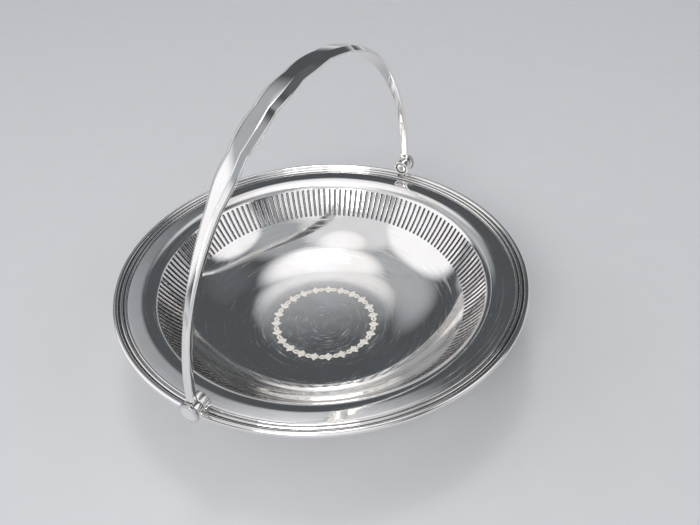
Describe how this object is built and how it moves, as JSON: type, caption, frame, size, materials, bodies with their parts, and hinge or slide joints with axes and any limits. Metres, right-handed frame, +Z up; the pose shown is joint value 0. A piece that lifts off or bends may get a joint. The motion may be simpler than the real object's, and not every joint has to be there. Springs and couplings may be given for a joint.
{
  "type": "swing-handled basket",
  "caption": "Round shallow plated basket with a pierced gallery, reeded border and collar foot, under an arched handle that swings down to either side on headed pins.",
  "frame": {"origin": "middle of the foot's base, on the surface that the basket stands on", "axes": "+Z up, +X along the hinge line of the handle towards the right hinge, +Y across the basket; the handle stands upright at rest"},
  "size_m": [0.2652, 0.254, 0.1903],
  "materials": {
    "dish_plate": "polished silver plate on spun sheet, with fine wiping scratches",
    "border_plate": "polished silver plate on drawn wire, darker in the grooves",
    "foot_plate": "silver plate on spun sheet, worn on the base",
    "hinge_plate": "silver plate on turned tube, dark round the joints",
    "handle_plate": "polished silver plate on a forged strap, with handling marks",
    "pin_plate": "silver plate on turned and riveted wire"
  },
  "bodies": {
    "basket": {"dish_body": "dish_plate", "rim_border": "border_plate", "foot_ring": "foot_plate", "hinge_lug_left": "hinge_plate", "hinge_lug_right": "hinge_plate"},
    "swing_handle": {"bail_handle": "handle_plate", "hinge_pin_left": "pin_plate", "hinge_pin_right": "pin_plate", "pin_washer_left": "pin_plate", "pin_washer_right": "pin_plate"}
  },
  "joints": [
    {"name": "handle_swing", "type": "hinge", "parent": "basket", "child": "swing_handle", "pos_m": [0, 0, 0.06141], "axis": [1, 0, 0], "range_deg": [-88.5, 88.5]}
  ]
}
